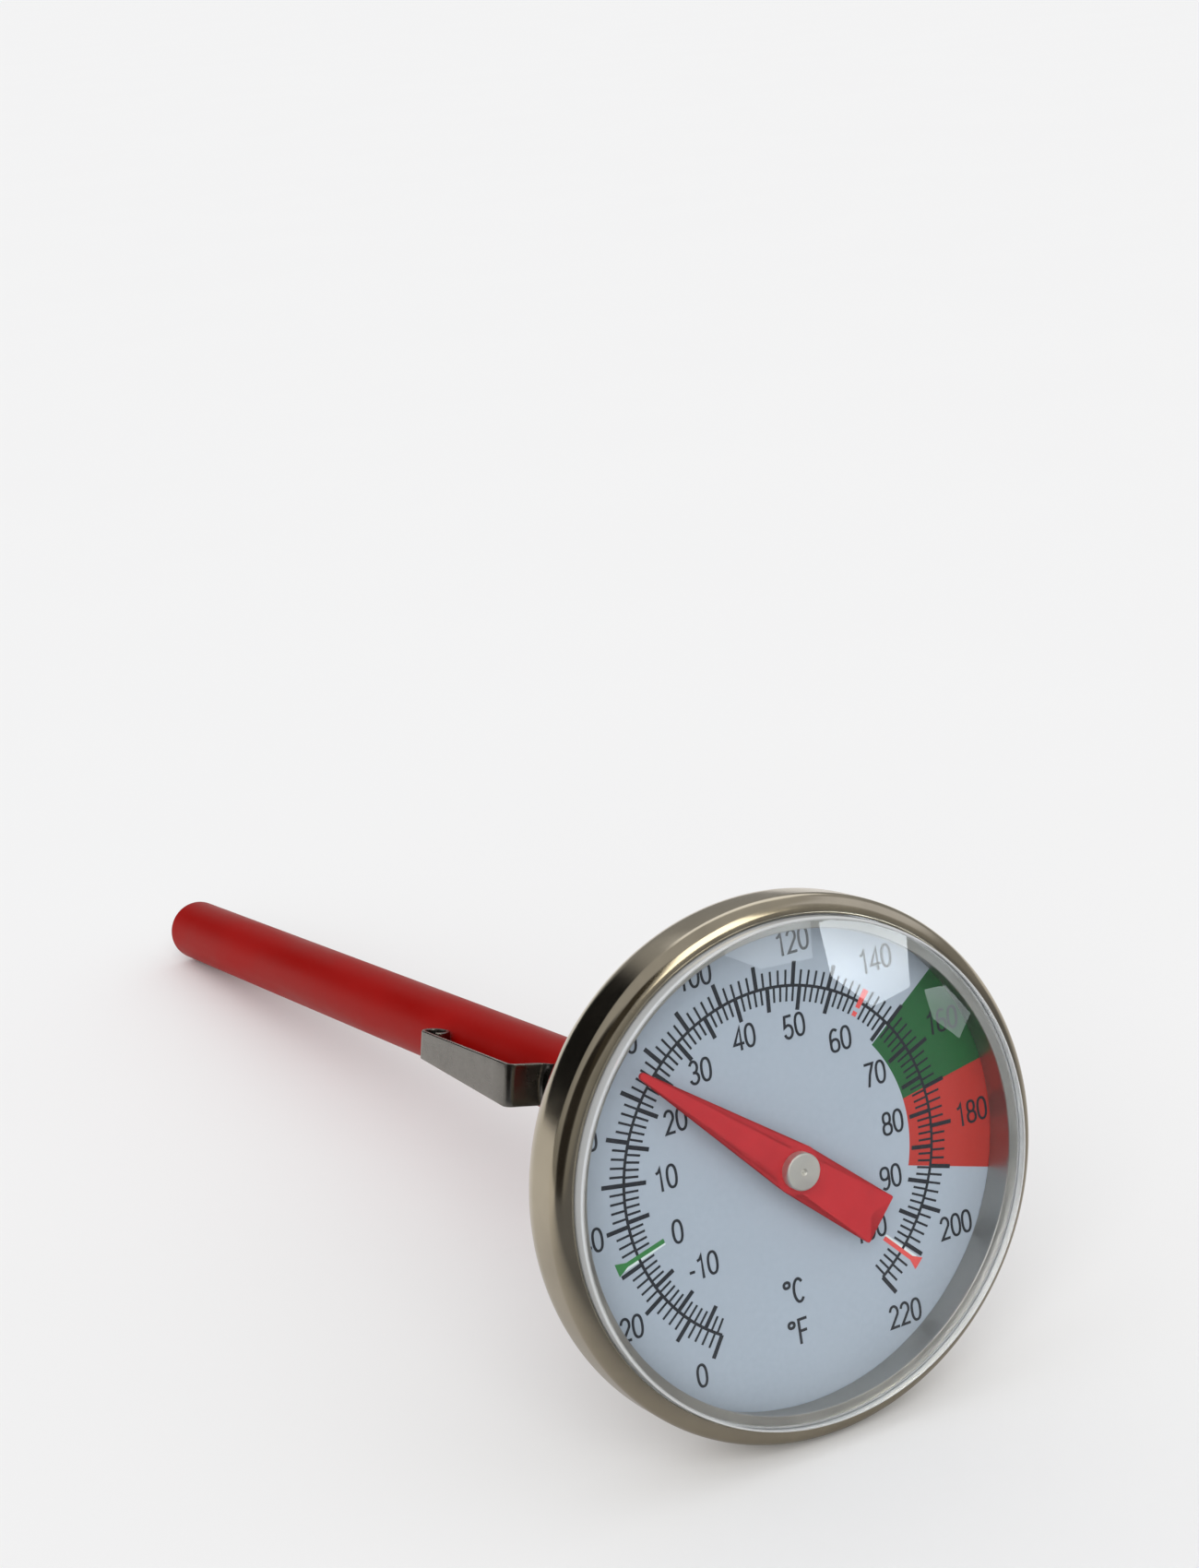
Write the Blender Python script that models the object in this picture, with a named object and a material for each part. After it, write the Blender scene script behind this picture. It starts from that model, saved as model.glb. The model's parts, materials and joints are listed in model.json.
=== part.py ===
"""Pocket dial thermometer: a bimetal coil in a steel stem turns a pointer in a crimped steel head.

The thermometer lies on a table, on the lower edge of its round head and on the closed end of its
sheath. Everything is turned about one axis. Each piece is modelled along a local axis W, which is 0 on
the dial's face, positive towards the reader and negative towards the tip of the stem. The local X axis
points at 3 o'clock and the local Y axis at 12 o'clock. Three nested empties hold the moving groups.
"""

import math

import bmesh
import bpy
from mathutils import Vector

MM = 0.001

# Driving dimensions.
HEAD_RADIUS = 22.5 * MM
HEAD_BACK = -3.5 * MM
LIP_FRONT = 4.4 * MM
SHEET = 0.6 * MM
BACK_CORNER_RADIUS = 4.2 * MM
LIP_ROLL_RADIUS = 1.4 * MM
LIP_EDGE_RADIUS = 20.95 * MM

CRYSTAL_FRONT = 5.4 * MM
CRYSTAL_UNDERSIDE = 3.8 * MM
CRYSTAL_FOOT = 3.2 * MM
CRYSTAL_WINDOW_RADIUS = 20.85 * MM
CRYSTAL_RIM_BORE = 20.8 * MM
CRYSTAL_EDGE_ROUND = 0.2 * MM
CRYSTAL_FLANGE_RADIUS = 21.1 * MM
CRYSTAL_FLANGE_TOP = 3.7 * MM
GASKET_RADIUS = 21.55 * MM
GASKET_HEIGHT = 0.35 * MM

DIAL_RADIUS = 21.5 * MM
DIAL_THICKNESS = 0.4 * MM
DIAL_HOLE = 1.2 * MM
WALL_RING_BORE = 20.5 * MM
WALL_RING_RADIUS = 21.7 * MM
WALL_LEDGE_BORE = 19.45 * MM
WALL_LEDGE_SHEET = 0.35 * MM
SPACER_BORE = 19.5 * MM
SPACER_RADIUS = 20.9 * MM

SCALE_LOW_F = 0.0
SCALE_HIGH_F = 220.0
SCALE_SWEEP = math.radians(295)
READING_F = 74.5

STEM_LENGTH = 127 * MM
STEM_RADIUS = 1.95 * MM
STEM_BORE = 1.55 * MM
STEM_TIP = HEAD_BACK - STEM_LENGTH

NUT_ACROSS_FLATS = 9.5 * MM
NUT_FRONT = HEAD_BACK - 0.6 * MM
NUT_LENGTH = 6.0 * MM
NUT_CHAMFER = 0.5 * MM
SPIGOT_RADIUS = 4.0 * MM
SPIGOT_END = HEAD_BACK + 1.9 * MM
CASE_HOLE_RADIUS = 4.2 * MM

SPINDLE_RADIUS = 0.5 * MM
SPINDLE_TOP = 2.95 * MM
SPINDLE_BOTTOM = -96.3 * MM

POINTER_LENGTH = 17.1 * MM
POINTER_TAIL = 9.6 * MM
POINTER_FACE = 2.5 * MM
POINTER_THICKNESS = 0.3 * MM

COIL_TOP = -98.5 * MM
COIL_BOTTOM = -125.5 * MM
COIL_TURNS = 18
COIL_RADIUS = 1.0 * MM

SHEATH_RADIUS = 3.5 * MM
SHEATH_BORE = 2.3 * MM
SHEATH_MOUTH = NUT_FRONT - NUT_LENGTH - 0.3 * MM
SHEATH_END = -137 * MM
SHEATH_END_ROUND = 0.8 * MM
MOUTH_BEAD_RADIUS = 4.4 * MM
MOUTH_BEAD_LENGTH = 3.0 * MM

CLIP_SHEET = 0.4 * MM
CLIP_ANGLE = math.radians(167)
CLIP_RING_FRONT = -28.5 * MM
CLIP_RING_BACK = -32.5 * MM
CLIP_STEP = -35.0 * MM
CLIP_STANDOFF = 4.0 * MM
CLIP_TIP = -56.0 * MM
CLIP_TIP_STANDOFF = 2.8 * MM
CLIP_ROOT_WIDTH = 4.0 * MM
CLIP_TIP_WIDTH = 2.8 * MM

GAP = 0.1 * MM
HEAD_SEGMENTS = 48
STEM_SEGMENTS = 24
SMALL_SEGMENTS = 16
WELD = 1e-7


def clear_scene():
    for old in list(bpy.data.objects):
        bpy.data.objects.remove(old, do_unlink=True)


def make_material(name, colour, roughness, metallic=0.0, transmission=0.0):
    material = bpy.data.materials.new(name)
    material.use_nodes = True
    shader = material.node_tree.nodes["Principled BSDF"]
    shader.inputs["Base Color"].default_value = (*colour, 1.0)
    shader.inputs["Roughness"].default_value = roughness
    shader.inputs["Metallic"].default_value = metallic
    shader.inputs["Transmission Weight"].default_value = transmission
    return material


def make_empty(name, parent=None):
    empty = bpy.data.objects.new(name, None)
    empty.empty_display_size = 10 * MM
    bpy.context.scene.collection.objects.link(empty)
    empty.parent = parent
    return empty


def add_object(name, bm, material, parent):
    """Links the bmesh as an object, shaded smooth except at its real corners."""
    bmesh.ops.recalc_face_normals(bm, faces=bm.faces)
    mesh = bpy.data.meshes.new(name)
    bm.to_mesh(mesh)
    bm.free()
    mesh.shade_smooth()
    mesh.set_sharp_from_angle(angle=math.radians(35))
    if material:
        mesh.materials.append(material)
    obj = bpy.data.objects.new(name, mesh)
    bpy.context.scene.collection.objects.link(obj)
    obj.parent = parent
    return obj


def arc(centre, radius, start, end, steps):
    """Points (r, w) on an arc of a turned profile; the angles are in degrees from the outward direction."""
    angles = [math.radians(start + (end - start) * i / steps) for i in range(steps + 1)]
    return [(centre[0] + radius * math.cos(a), centre[1] + radius * math.sin(a)) for a in angles]


def turned(name, profile, segments, material, parent):
    """A profile of (r, w) points spun about W. A profile that ends on the axis is left open there.

    The spin starts half a segment from 6 o'clock, so a flat facet faces the table.
    """
    start = -math.pi / 2 + math.pi / segments
    on_axis = profile[0][0] == 0 and profile[-1][0] == 0
    bm = bmesh.new()
    points = [bm.verts.new((r * math.cos(start), r * math.sin(start), w)) for r, w in profile]
    count = len(points)
    edges = [bm.edges.new((points[i], points[(i + 1) % count])) for i in range(count - on_axis)]
    bmesh.ops.spin(
        bm, geom=points + edges, cent=(0, 0, 0), axis=(0, 0, 1), angle=2 * math.pi, steps=segments
    )
    bmesh.ops.remove_doubles(bm, verts=bm.verts, dist=WELD)
    return add_object(name, bm, material, parent)


def collar(name, inner, outer, low, high, segments, material, parent):
    """A plain ring of rectangular section."""
    profile = [(inner, low), (outer, low), (outer, high), (inner, high)]
    return turned(name, profile, segments, material, parent)


def lofted(name, sections, material, parent):
    """A closed skin over sections with the same number of points, with a flat cap at each end."""
    bm = bmesh.new()
    rings = [[bm.verts.new(point) for point in section] for section in sections]
    count = len(rings[0])
    for near, far in zip(rings, rings[1:]):
        for i in range(count):
            j = (i + 1) % count
            bm.faces.new((near[i], near[j], far[j], far[i]))
    bm.faces.new(rings[0])
    bm.faces.new(rings[-1])
    return add_object(name, bm, material, parent)


def extruded(name, outline, low, high, material, parent):
    """A flat plate: an outline of (x, y) points between two heights."""
    sections = [[(x, y, height) for x, y in outline] for height in (low, high)]
    return lofted(name, sections, material, parent)


def boolean(target, tool, operation):
    modifier = target.modifiers.new(operation.lower(), "BOOLEAN")
    modifier.operation = operation
    modifier.object = tool
    modifier.solver = "EXACT"
    tool.hide_render = True
    tool.display_type = "WIRE"


def make_case(material, parent):
    """A cup drawn from thin sheet. Its mouth is rolled inwards over the crystal's flange."""
    back_centre = (HEAD_RADIUS - BACK_CORNER_RADIUS, HEAD_BACK + BACK_CORNER_RADIUS)
    lip_centre = (HEAD_RADIUS - LIP_ROLL_RADIUS, LIP_FRONT - LIP_ROLL_RADIUS)
    profile = [(CASE_HOLE_RADIUS, HEAD_BACK)]
    profile += arc(back_centre, BACK_CORNER_RADIUS, -90, 0, 7)
    profile += arc(lip_centre, LIP_ROLL_RADIUS, 0, 90, 6)
    profile += [(LIP_EDGE_RADIUS, LIP_FRONT - GAP), (LIP_EDGE_RADIUS, LIP_FRONT - SHEET)]
    profile += arc(lip_centre, LIP_ROLL_RADIUS - SHEET, 90, 0, 3)
    profile += arc(back_centre, BACK_CORNER_RADIUS - SHEET, 0, -90, 5)
    profile += [(CASE_HOLE_RADIUS, HEAD_BACK + SHEET)]
    turned("case", profile, HEAD_SEGMENTS, material, parent)


def make_crystal(material, parent):
    """A moulded cap: a thick flat window that stands out of the lip, and a low rim with a flange under it."""
    profile = [
        (0, CRYSTAL_UNDERSIDE),
        (CRYSTAL_RIM_BORE, CRYSTAL_UNDERSIDE),
        (CRYSTAL_RIM_BORE, CRYSTAL_FOOT),
        (CRYSTAL_FLANGE_RADIUS, CRYSTAL_FOOT),
        (CRYSTAL_FLANGE_RADIUS, CRYSTAL_FLANGE_TOP),
        (CRYSTAL_WINDOW_RADIUS, CRYSTAL_FLANGE_TOP),
    ]
    edge_centre = (CRYSTAL_WINDOW_RADIUS - CRYSTAL_EDGE_ROUND, CRYSTAL_FRONT - CRYSTAL_EDGE_ROUND)
    profile += arc(edge_centre, CRYSTAL_EDGE_ROUND, 0, 90, 3)
    profile += [(0, CRYSTAL_FRONT)]
    turned("crystal", profile, HEAD_SEGMENTS, material, parent)


def make_dial_ring(material, parent):
    """The wall between the dial and the crystal. Its ledge carries the window, and its shoulder the rim."""
    shoulder = CRYSTAL_FOOT - GAP / 2
    outside = CRYSTAL_RIM_BORE - GAP / 2
    top = CRYSTAL_UNDERSIDE - GAP / 2
    profile = [
        (WALL_RING_BORE, GAP),
        (WALL_RING_RADIUS, GAP),
        (WALL_RING_RADIUS, shoulder),
        (outside, shoulder),
        (outside, top),
        (WALL_LEDGE_BORE, top),
        (WALL_LEDGE_BORE, top - WALL_LEDGE_SHEET),
        (WALL_RING_BORE, top - WALL_LEDGE_SHEET),
    ]
    turned("dial_ring", profile, HEAD_SEGMENTS, material, parent)


def make_pointer(material, parent):
    """A flat red hand: a long taper, a round boss with a hole for the spindle and a swallow tail."""
    boss = 2.1 * MM
    needle_root, needle_tip = 1.2 * MM, 0.3 * MM
    tail_root, tail_end = 1.45 * MM, 1.95 * MM
    notch = 8.4 * MM

    def on_boss(half_width, side):
        return side * math.sqrt(boss**2 - half_width**2)

    def boss_side(start, end, steps):
        angles = [math.radians(start + (end - start) * i / steps) for i in range(1, steps)]
        return [(boss * math.cos(a), boss * math.sin(a)) for a in angles]

    needle_angle = math.degrees(math.acos(needle_root / boss))
    tail_angle = math.degrees(math.acos(tail_root / boss))
    outline = [
        (needle_root, on_boss(needle_root, 1)),
        (needle_tip, POINTER_LENGTH - needle_tip),
        (0, POINTER_LENGTH),
        (-needle_tip, POINTER_LENGTH - needle_tip),
        (-needle_root, on_boss(needle_root, 1)),
    ]
    outline += boss_side(180 - needle_angle, 180 + tail_angle, 5)
    outline += [
        (-tail_root, on_boss(tail_root, -1)),
        (-tail_end, -POINTER_TAIL),
        (0, -notch),
        (tail_end, -POINTER_TAIL),
        (tail_root, on_boss(tail_root, -1)),
    ]
    outline += boss_side(-tail_angle, needle_angle, 5)
    low = POINTER_FACE - POINTER_THICKNESS
    pointer = extruded("pointer", outline, low, POINTER_FACE, material, parent)
    hole = SPINDLE_RADIUS + 0.03 * MM
    profile = [(0, low - MM), (hole, low - MM), (hole, POINTER_FACE + MM), (0, POINTER_FACE + MM)]
    cutter = turned("pointer_hole_cutter", profile, SMALL_SEGMENTS, None, parent)
    boolean(pointer, cutter, "DIFFERENCE")


def make_pointer_cap(material, parent):
    """The bright cap pressed on the spindle over the pointer, blind from below."""
    radius, top, crown = 1.55 * MM, 3.4 * MM, 0.12 * MM
    low = POINTER_FACE + 0.03 * MM
    hole = SPINDLE_RADIUS + 0.03 * MM
    profile = [
        (0, SPINDLE_TOP + 0.05 * MM),
        (hole, SPINDLE_TOP + 0.05 * MM),
        (hole, low),
        (radius, low),
        (radius, top - crown),
        (radius - crown, top),
        (0, top),
    ]
    turned("pointer_cap", profile, STEM_SEGMENTS, material, parent)


def make_nut(material, parent):
    """The hex that a spanner turns to set the reading, with a spigot through the case."""
    corner = NUT_ACROSS_FLATS / math.sqrt(3)
    back = NUT_FRONT - NUT_LENGTH
    angles = [math.radians(60 * i) for i in range(6)]
    outline = [(corner * math.cos(a), corner * math.sin(a)) for a in angles]
    nut = extruded("calibration_nut", outline, back, NUT_FRONT, material, parent)
    chamfer_profile = [
        (0, back),
        (corner - NUT_CHAMFER, back),
        (corner + 0.02 * MM, back + NUT_CHAMFER * 0.6),
        (corner + 0.02 * MM, NUT_FRONT - NUT_CHAMFER * 0.6),
        (corner - NUT_CHAMFER, NUT_FRONT),
        (0, NUT_FRONT),
    ]
    chamfer = turned("nut_chamfer_cutter", chamfer_profile, STEM_SEGMENTS, None, parent)
    middle = (back + NUT_FRONT) / 2
    spigot_profile = [(0, middle), (SPIGOT_RADIUS, middle), (SPIGOT_RADIUS, SPIGOT_END), (0, SPIGOT_END)]
    spigot = turned("nut_spigot_shape", spigot_profile, STEM_SEGMENTS, None, parent)
    bore = STEM_RADIUS + 0.05 * MM
    bore_profile = [(0, back - MM), (bore, back - MM), (bore, SPIGOT_END + MM), (0, SPIGOT_END + MM)]
    bore_cutter = turned("nut_bore_cutter", bore_profile, STEM_SEGMENTS, None, parent)
    boolean(nut, chamfer, "INTERSECT")
    boolean(nut, spigot, "UNION")
    boolean(nut, bore_cutter, "DIFFERENCE")


def make_stem_tip(material, parent):
    """The pointed plug welded into the end of the tube, with a spigot inside it."""
    shoulder = STEM_TIP + 2.2 * MM
    profile = [
        (0, shoulder + 1.2 * MM),
        (STEM_BORE - 0.05 * MM, shoulder + 1.2 * MM),
        (STEM_BORE - 0.05 * MM, shoulder),
        (STEM_RADIUS, shoulder),
        (STEM_RADIUS, shoulder - 0.4 * MM),
        (0.7 * MM, STEM_TIP + 0.15 * MM),
        (0.45 * MM, STEM_TIP),
        (0, STEM_TIP),
    ]
    turned("stem_tip", profile, STEM_SEGMENTS, material, parent)
    return shoulder


def make_coil(material, parent):
    """The bimetal strip, wound as a helix of rectangular section. It turns as it warms."""
    steps_per_turn = 12
    half_width, half_thickness = 0.4 * MM, 0.12 * MM
    steps = COIL_TURNS * steps_per_turn
    rise = COIL_TOP - COIL_BOTTOM - 2 * half_width
    sections = []
    for i in range(steps + 1):
        angle = 2 * math.pi * i / steps_per_turn
        height = COIL_BOTTOM + half_width + rise * i / steps
        inner, outer = COIL_RADIUS - half_thickness, COIL_RADIUS + half_thickness
        corners = [(inner, -half_width), (outer, -half_width), (outer, half_width), (inner, half_width)]
        sections.append([(r * math.cos(angle), r * math.sin(angle), height + h) for r, h in corners])
    lofted("bimetal_coil", sections, material, parent)


def make_sheath(material, parent):
    """A moulded tube, closed at its far end, with a bead round its mouth."""
    bore_end = SHEATH_END + 2.8 * MM
    bead_end = SHEATH_MOUTH - MOUTH_BEAD_LENGTH
    profile = [
        (0, bore_end),
        (SHEATH_BORE, bore_end),
        (SHEATH_BORE, SHEATH_MOUTH),
        (MOUTH_BEAD_RADIUS - 0.3 * MM, SHEATH_MOUTH),
        (MOUTH_BEAD_RADIUS, SHEATH_MOUTH - 0.3 * MM),
        (MOUTH_BEAD_RADIUS, bead_end + 0.6 * MM),
        (SHEATH_RADIUS, bead_end - 0.6 * MM),
    ]
    end_centre = (SHEATH_RADIUS - SHEATH_END_ROUND, SHEATH_END + SHEATH_END_ROUND)
    profile += arc(end_centre, SHEATH_END_ROUND, 0, -90, 4)
    profile += [(0, SHEATH_END)]
    turned("sheath", profile, STEM_SEGMENTS, material, parent)


def clip_path():
    """The clip's middle line as (w, height above the axis, half width), from the ring to the rolled tip."""
    seat = SHEATH_RADIUS + 0.1 * MM + CLIP_SHEET / 2
    half_root, half_tip = CLIP_ROOT_WIDTH / 2, CLIP_TIP_WIDTH / 2
    top = SHEATH_RADIUS + CLIP_STANDOFF - CLIP_SHEET / 2
    tip = SHEATH_RADIUS + CLIP_TIP_STANDOFF - CLIP_SHEET / 2
    bend = 0.6 * MM
    path = [(CLIP_RING_BACK + 0.8 * MM, seat, half_root), (CLIP_STEP + bend, seat, half_root)]
    for angle in (30, 60, 90):
        a = math.radians(angle)
        path.append((CLIP_STEP + bend * (1 - math.sin(a)), seat + bend * (1 - math.cos(a)), half_root))
    for angle in (0, 30, 60, 90):
        a = math.radians(angle)
        path.append((CLIP_STEP - bend * (1 - math.cos(a)), top - bend * (1 - math.sin(a)), half_root))
    path.append((CLIP_TIP, tip, half_tip))
    roll = (tip - CLIP_SHEET / 2 - SHEATH_RADIUS) / 2
    for i in range(1, 10):
        a = math.radians(33 * i)
        path.append((CLIP_TIP - roll * math.sin(a), tip - roll * (1 - math.cos(a)), half_tip))
    return path


def make_clip(material, parent):
    """One strip of spring steel: a ring round the sheath, a step outwards and an arm with a rolled tip."""
    path = clip_path()
    sections = []
    across = (-1.0, -0.5, 0.0, 0.5, 1.0)
    outward = Vector((math.cos(CLIP_ANGLE), math.sin(CLIP_ANGLE)))
    sideways = Vector((-outward.y, outward.x))
    crown_radius = SHEATH_RADIUS + CLIP_SHEET
    for i, (w, height, half_width) in enumerate(path):
        before, after = path[max(i - 1, 0)], path[min(i + 1, len(path) - 1)]
        along = Vector((after[0] - before[0], after[1] - before[1])).normalized()
        normal = Vector((along.y, -along.x)) * CLIP_SHEET / 2
        drop = crown_radius - math.sqrt(crown_radius**2 - half_width**2)
        seated = 1.0 if i < 2 else 0.0
        section = []
        for side, order in ((1, across), (-1, across[::-1])):
            for t in order:
                reach = height + side * normal.y - seated * drop * t * t
                flat = outward * reach + sideways * half_width * t
                section.append((flat.x, flat.y, w + side * normal.x))
        sections.append(section)
    clip = lofted("pocket_clip", sections, material, parent)
    inner = SHEATH_RADIUS + 0.1 * MM
    outer = inner + CLIP_SHEET
    ring = collar(
        "clip_ring_shape", inner, outer, CLIP_RING_BACK, CLIP_RING_FRONT, STEM_SEGMENTS, None, parent
    )
    boolean(clip, ring, "UNION")


def tilt_on_table():
    """How far the axis drops towards the sheath's end when both ends touch the table."""
    head_arm = HEAD_RADIUS - BACK_CORNER_RADIUS - (SHEATH_RADIUS - SHEATH_END_ROUND)
    head_along = HEAD_BACK + BACK_CORNER_RADIUS
    length = head_along - (SHEATH_END + SHEATH_END_ROUND)
    round_difference = BACK_CORNER_RADIUS - SHEATH_END_ROUND
    span = math.hypot(length, head_arm)
    return math.atan2(head_arm, length) + math.asin(round_difference / span)


def stand_on_table(frame):
    """Puts the box of the whole part on the table, centred on the origin."""
    bpy.context.view_layer.update()
    graph = bpy.context.evaluated_depsgraph_get()
    corners = []
    for obj in bpy.context.scene.objects:
        if obj.type != "MESH" or obj.hide_render:
            continue
        shape = obj.evaluated_get(graph)
        corners += [shape.matrix_world @ vertex.co for vertex in shape.data.vertices]
    low = Vector([min(corner[i] for corner in corners) for i in range(3)])
    high = Vector([max(corner[i] for corner in corners) for i in range(3)])
    frame.location -= Vector(((low.x + high.x) / 2, (low.y + high.y) / 2, low.z))


def build():
    steel = make_material("case_steel", (0.62, 0.58, 0.52), 0.2, metallic=1.0)
    stem_steel = make_material("stem_steel", (0.66, 0.65, 0.63), 0.25, metallic=1.0)
    clip_steel = make_material("clip_steel", (0.5, 0.49, 0.47), 0.35, metallic=1.0)
    brass = make_material("brass", (0.7, 0.5, 0.22), 0.3, metallic=1.0)
    bimetal = make_material("bimetal", (0.5, 0.46, 0.4), 0.4, metallic=1.0)
    clear = make_material("clear_plastic", (0.95, 0.97, 0.98), 0.03, transmission=1.0)
    dial_paint = make_material("dial_paint", (0.62, 0.68, 0.75), 0.5)
    pointer_paint = make_material("pointer_paint", (0.5, 0.03, 0.04), 0.35)
    cap_metal = make_material("cap_metal", (0.68, 0.65, 0.58), 0.35, metallic=1.0)
    rubber = make_material("rubber", (0.05, 0.05, 0.05), 0.7)
    silicone = make_material("silicone", (0.5, 0.5, 0.48), 0.6)
    ring_steel = make_material("ring_steel", (0.56, 0.54, 0.5), 0.4, metallic=1.0)
    grey_plastic = make_material("grey_plastic", (0.35, 0.36, 0.37), 0.5)
    sheath_plastic = make_material("sheath_plastic", (0.4, 0.02, 0.015), 0.4)

    frame = make_empty("thermometer_frame")
    stem_group = make_empty("stem_axis", frame)
    head_group = make_empty("head_axis", stem_group)
    pointer_group = make_empty("pointer_axis", stem_group)

    make_case(steel, head_group)
    make_crystal(clear, head_group)
    collar(
        "crystal_gasket", CRYSTAL_FLANGE_RADIUS + GAP / 2, GASKET_RADIUS, CRYSTAL_FOOT, CRYSTAL_FOOT + GASKET_HEIGHT,
        HEAD_SEGMENTS, silicone, head_group,
    )
    collar("dial", DIAL_HOLE, DIAL_RADIUS, -DIAL_THICKNESS, 0, HEAD_SEGMENTS, dial_paint, head_group)
    make_dial_ring(ring_steel, head_group)
    spacer_top = -DIAL_THICKNESS - GAP
    spacer = [
        (SPACER_BORE, -2.6 * MM), (SPACER_RADIUS, -1.7 * MM), (SPACER_RADIUS, spacer_top), (SPACER_BORE, spacer_top),
    ]
    turned("dial_spacer", spacer, HEAD_SEGMENTS, grey_plastic, head_group)

    make_nut(stem_steel, stem_group)
    case_floor = HEAD_BACK + SHEET
    collar(
        "nut_seal", SPIGOT_RADIUS + 0.4 * MM, 4.65 * MM, NUT_FRONT + 0.05 * MM, HEAD_BACK - 0.05 * MM,
        STEM_SEGMENTS, rubber, stem_group,
    )
    collar(
        "friction_washer", CASE_HOLE_RADIUS, 6.6 * MM, case_floor + 0.05 * MM, case_floor + 0.45 * MM,
        STEM_SEGMENTS, stem_steel, stem_group,
    )
    collar(
        "retaining_ring", SPIGOT_RADIUS + 0.05 * MM, 6.0 * MM, case_floor + 0.5 * MM, SPIGOT_END - 0.2 * MM,
        STEM_SEGMENTS, stem_steel, stem_group,
    )
    tip_shoulder = make_stem_tip(stem_steel, stem_group)
    stem_top = NUT_FRONT + 1.6 * MM
    collar(
        "stem_tube", STEM_BORE, STEM_RADIUS, tip_shoulder + 0.05 * MM, stem_top,
        STEM_SEGMENTS, stem_steel, stem_group,
    )
    bush_bore, bush_outside = SPINDLE_RADIUS + 0.08 * MM, STEM_BORE - 0.05 * MM
    for name, top in (("upper_bush", stem_top - 0.2 * MM), ("lower_bush", COIL_TOP + 12 * MM)):
        collar(name, bush_bore, bush_outside, top - 2.5 * MM, top, SMALL_SEGMENTS, brass, stem_group)
    make_coil(bimetal, stem_group)
    anchor_top = COIL_BOTTOM - 0.05 * MM
    anchor_end = anchor_top - 1.25 * MM
    anchor = [(0, anchor_top), (1.4 * MM, anchor_top), (1.4 * MM, anchor_end), (0, anchor_end)]
    turned("coil_anchor", anchor, SMALL_SEGMENTS, brass, stem_group)

    spindle = [
        (0, SPINDLE_BOTTOM), (SPINDLE_RADIUS, SPINDLE_BOTTOM), (SPINDLE_RADIUS, SPINDLE_TOP), (0, SPINDLE_TOP),
    ]
    turned("spindle", spindle, SMALL_SEGMENTS, stem_steel, pointer_group)
    coupler_top, coupler_end = SPINDLE_BOTTOM + 1.6 * MM, COIL_TOP + 0.1 * MM
    coupler_bore = SPINDLE_RADIUS + 0.03 * MM
    coupler = [
        (0, coupler_end), (1.25 * MM, coupler_end), (1.25 * MM, coupler_top),
        (coupler_bore, coupler_top), (coupler_bore, SPINDLE_BOTTOM - GAP), (0, SPINDLE_BOTTOM - GAP),
    ]
    turned("coil_coupler", coupler, SMALL_SEGMENTS, brass, pointer_group)
    hub_top = POINTER_FACE - POINTER_THICKNESS - 0.03 * MM
    collar(
        "pointer_hub", SPINDLE_RADIUS + 0.03 * MM, 1.15 * MM, 0.9 * MM, hub_top,
        SMALL_SEGMENTS, brass, pointer_group,
    )
    make_pointer(pointer_paint, pointer_group)
    make_pointer_cap(cap_metal, pointer_group)
    middle_f = (SCALE_LOW_F + SCALE_HIGH_F) / 2
    radians_per_f = SCALE_SWEEP / (SCALE_HIGH_F - SCALE_LOW_F)
    pointer_group.rotation_euler.z = (middle_f - READING_F) * radians_per_f

    make_sheath(sheath_plastic, frame)
    make_clip(clip_steel, frame)

    frame.rotation_euler.x = math.pi / 2 - tilt_on_table()
    stand_on_table(frame)


clear_scene()
build()
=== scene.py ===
"""The looks of a pocket dial thermometer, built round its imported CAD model.

Pieces are modelled in the dial's own axes: X at 3 o'clock, Y at 12 o'clock and Z out of the dial, with the
printed face at 0. DIAL_FRAME puts them in the row frame. Lengths in this script are in millimetres.
"""

import json
import math

import bmesh
import bpy
from mathutils import Matrix, Quaternion, Vector


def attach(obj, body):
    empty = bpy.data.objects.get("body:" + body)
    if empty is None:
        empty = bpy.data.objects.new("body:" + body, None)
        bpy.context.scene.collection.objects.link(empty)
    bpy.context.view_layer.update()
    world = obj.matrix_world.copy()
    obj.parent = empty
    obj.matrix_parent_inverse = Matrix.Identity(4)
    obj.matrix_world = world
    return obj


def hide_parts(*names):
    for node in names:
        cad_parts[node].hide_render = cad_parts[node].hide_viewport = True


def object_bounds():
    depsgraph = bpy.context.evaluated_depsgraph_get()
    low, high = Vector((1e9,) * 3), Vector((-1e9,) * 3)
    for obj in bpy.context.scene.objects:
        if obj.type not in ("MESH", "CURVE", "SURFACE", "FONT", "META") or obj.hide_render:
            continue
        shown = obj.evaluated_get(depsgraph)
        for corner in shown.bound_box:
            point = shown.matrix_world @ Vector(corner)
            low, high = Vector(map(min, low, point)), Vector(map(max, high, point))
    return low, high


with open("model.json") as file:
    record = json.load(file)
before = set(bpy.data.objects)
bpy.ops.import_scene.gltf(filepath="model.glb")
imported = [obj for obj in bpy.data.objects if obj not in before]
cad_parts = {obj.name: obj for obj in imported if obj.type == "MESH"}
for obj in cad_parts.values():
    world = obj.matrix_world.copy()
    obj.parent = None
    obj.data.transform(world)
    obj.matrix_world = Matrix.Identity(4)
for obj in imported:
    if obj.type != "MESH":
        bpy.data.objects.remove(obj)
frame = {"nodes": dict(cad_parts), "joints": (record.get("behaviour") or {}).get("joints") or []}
cad_low, cad_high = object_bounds()

MM = 0.001


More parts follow.
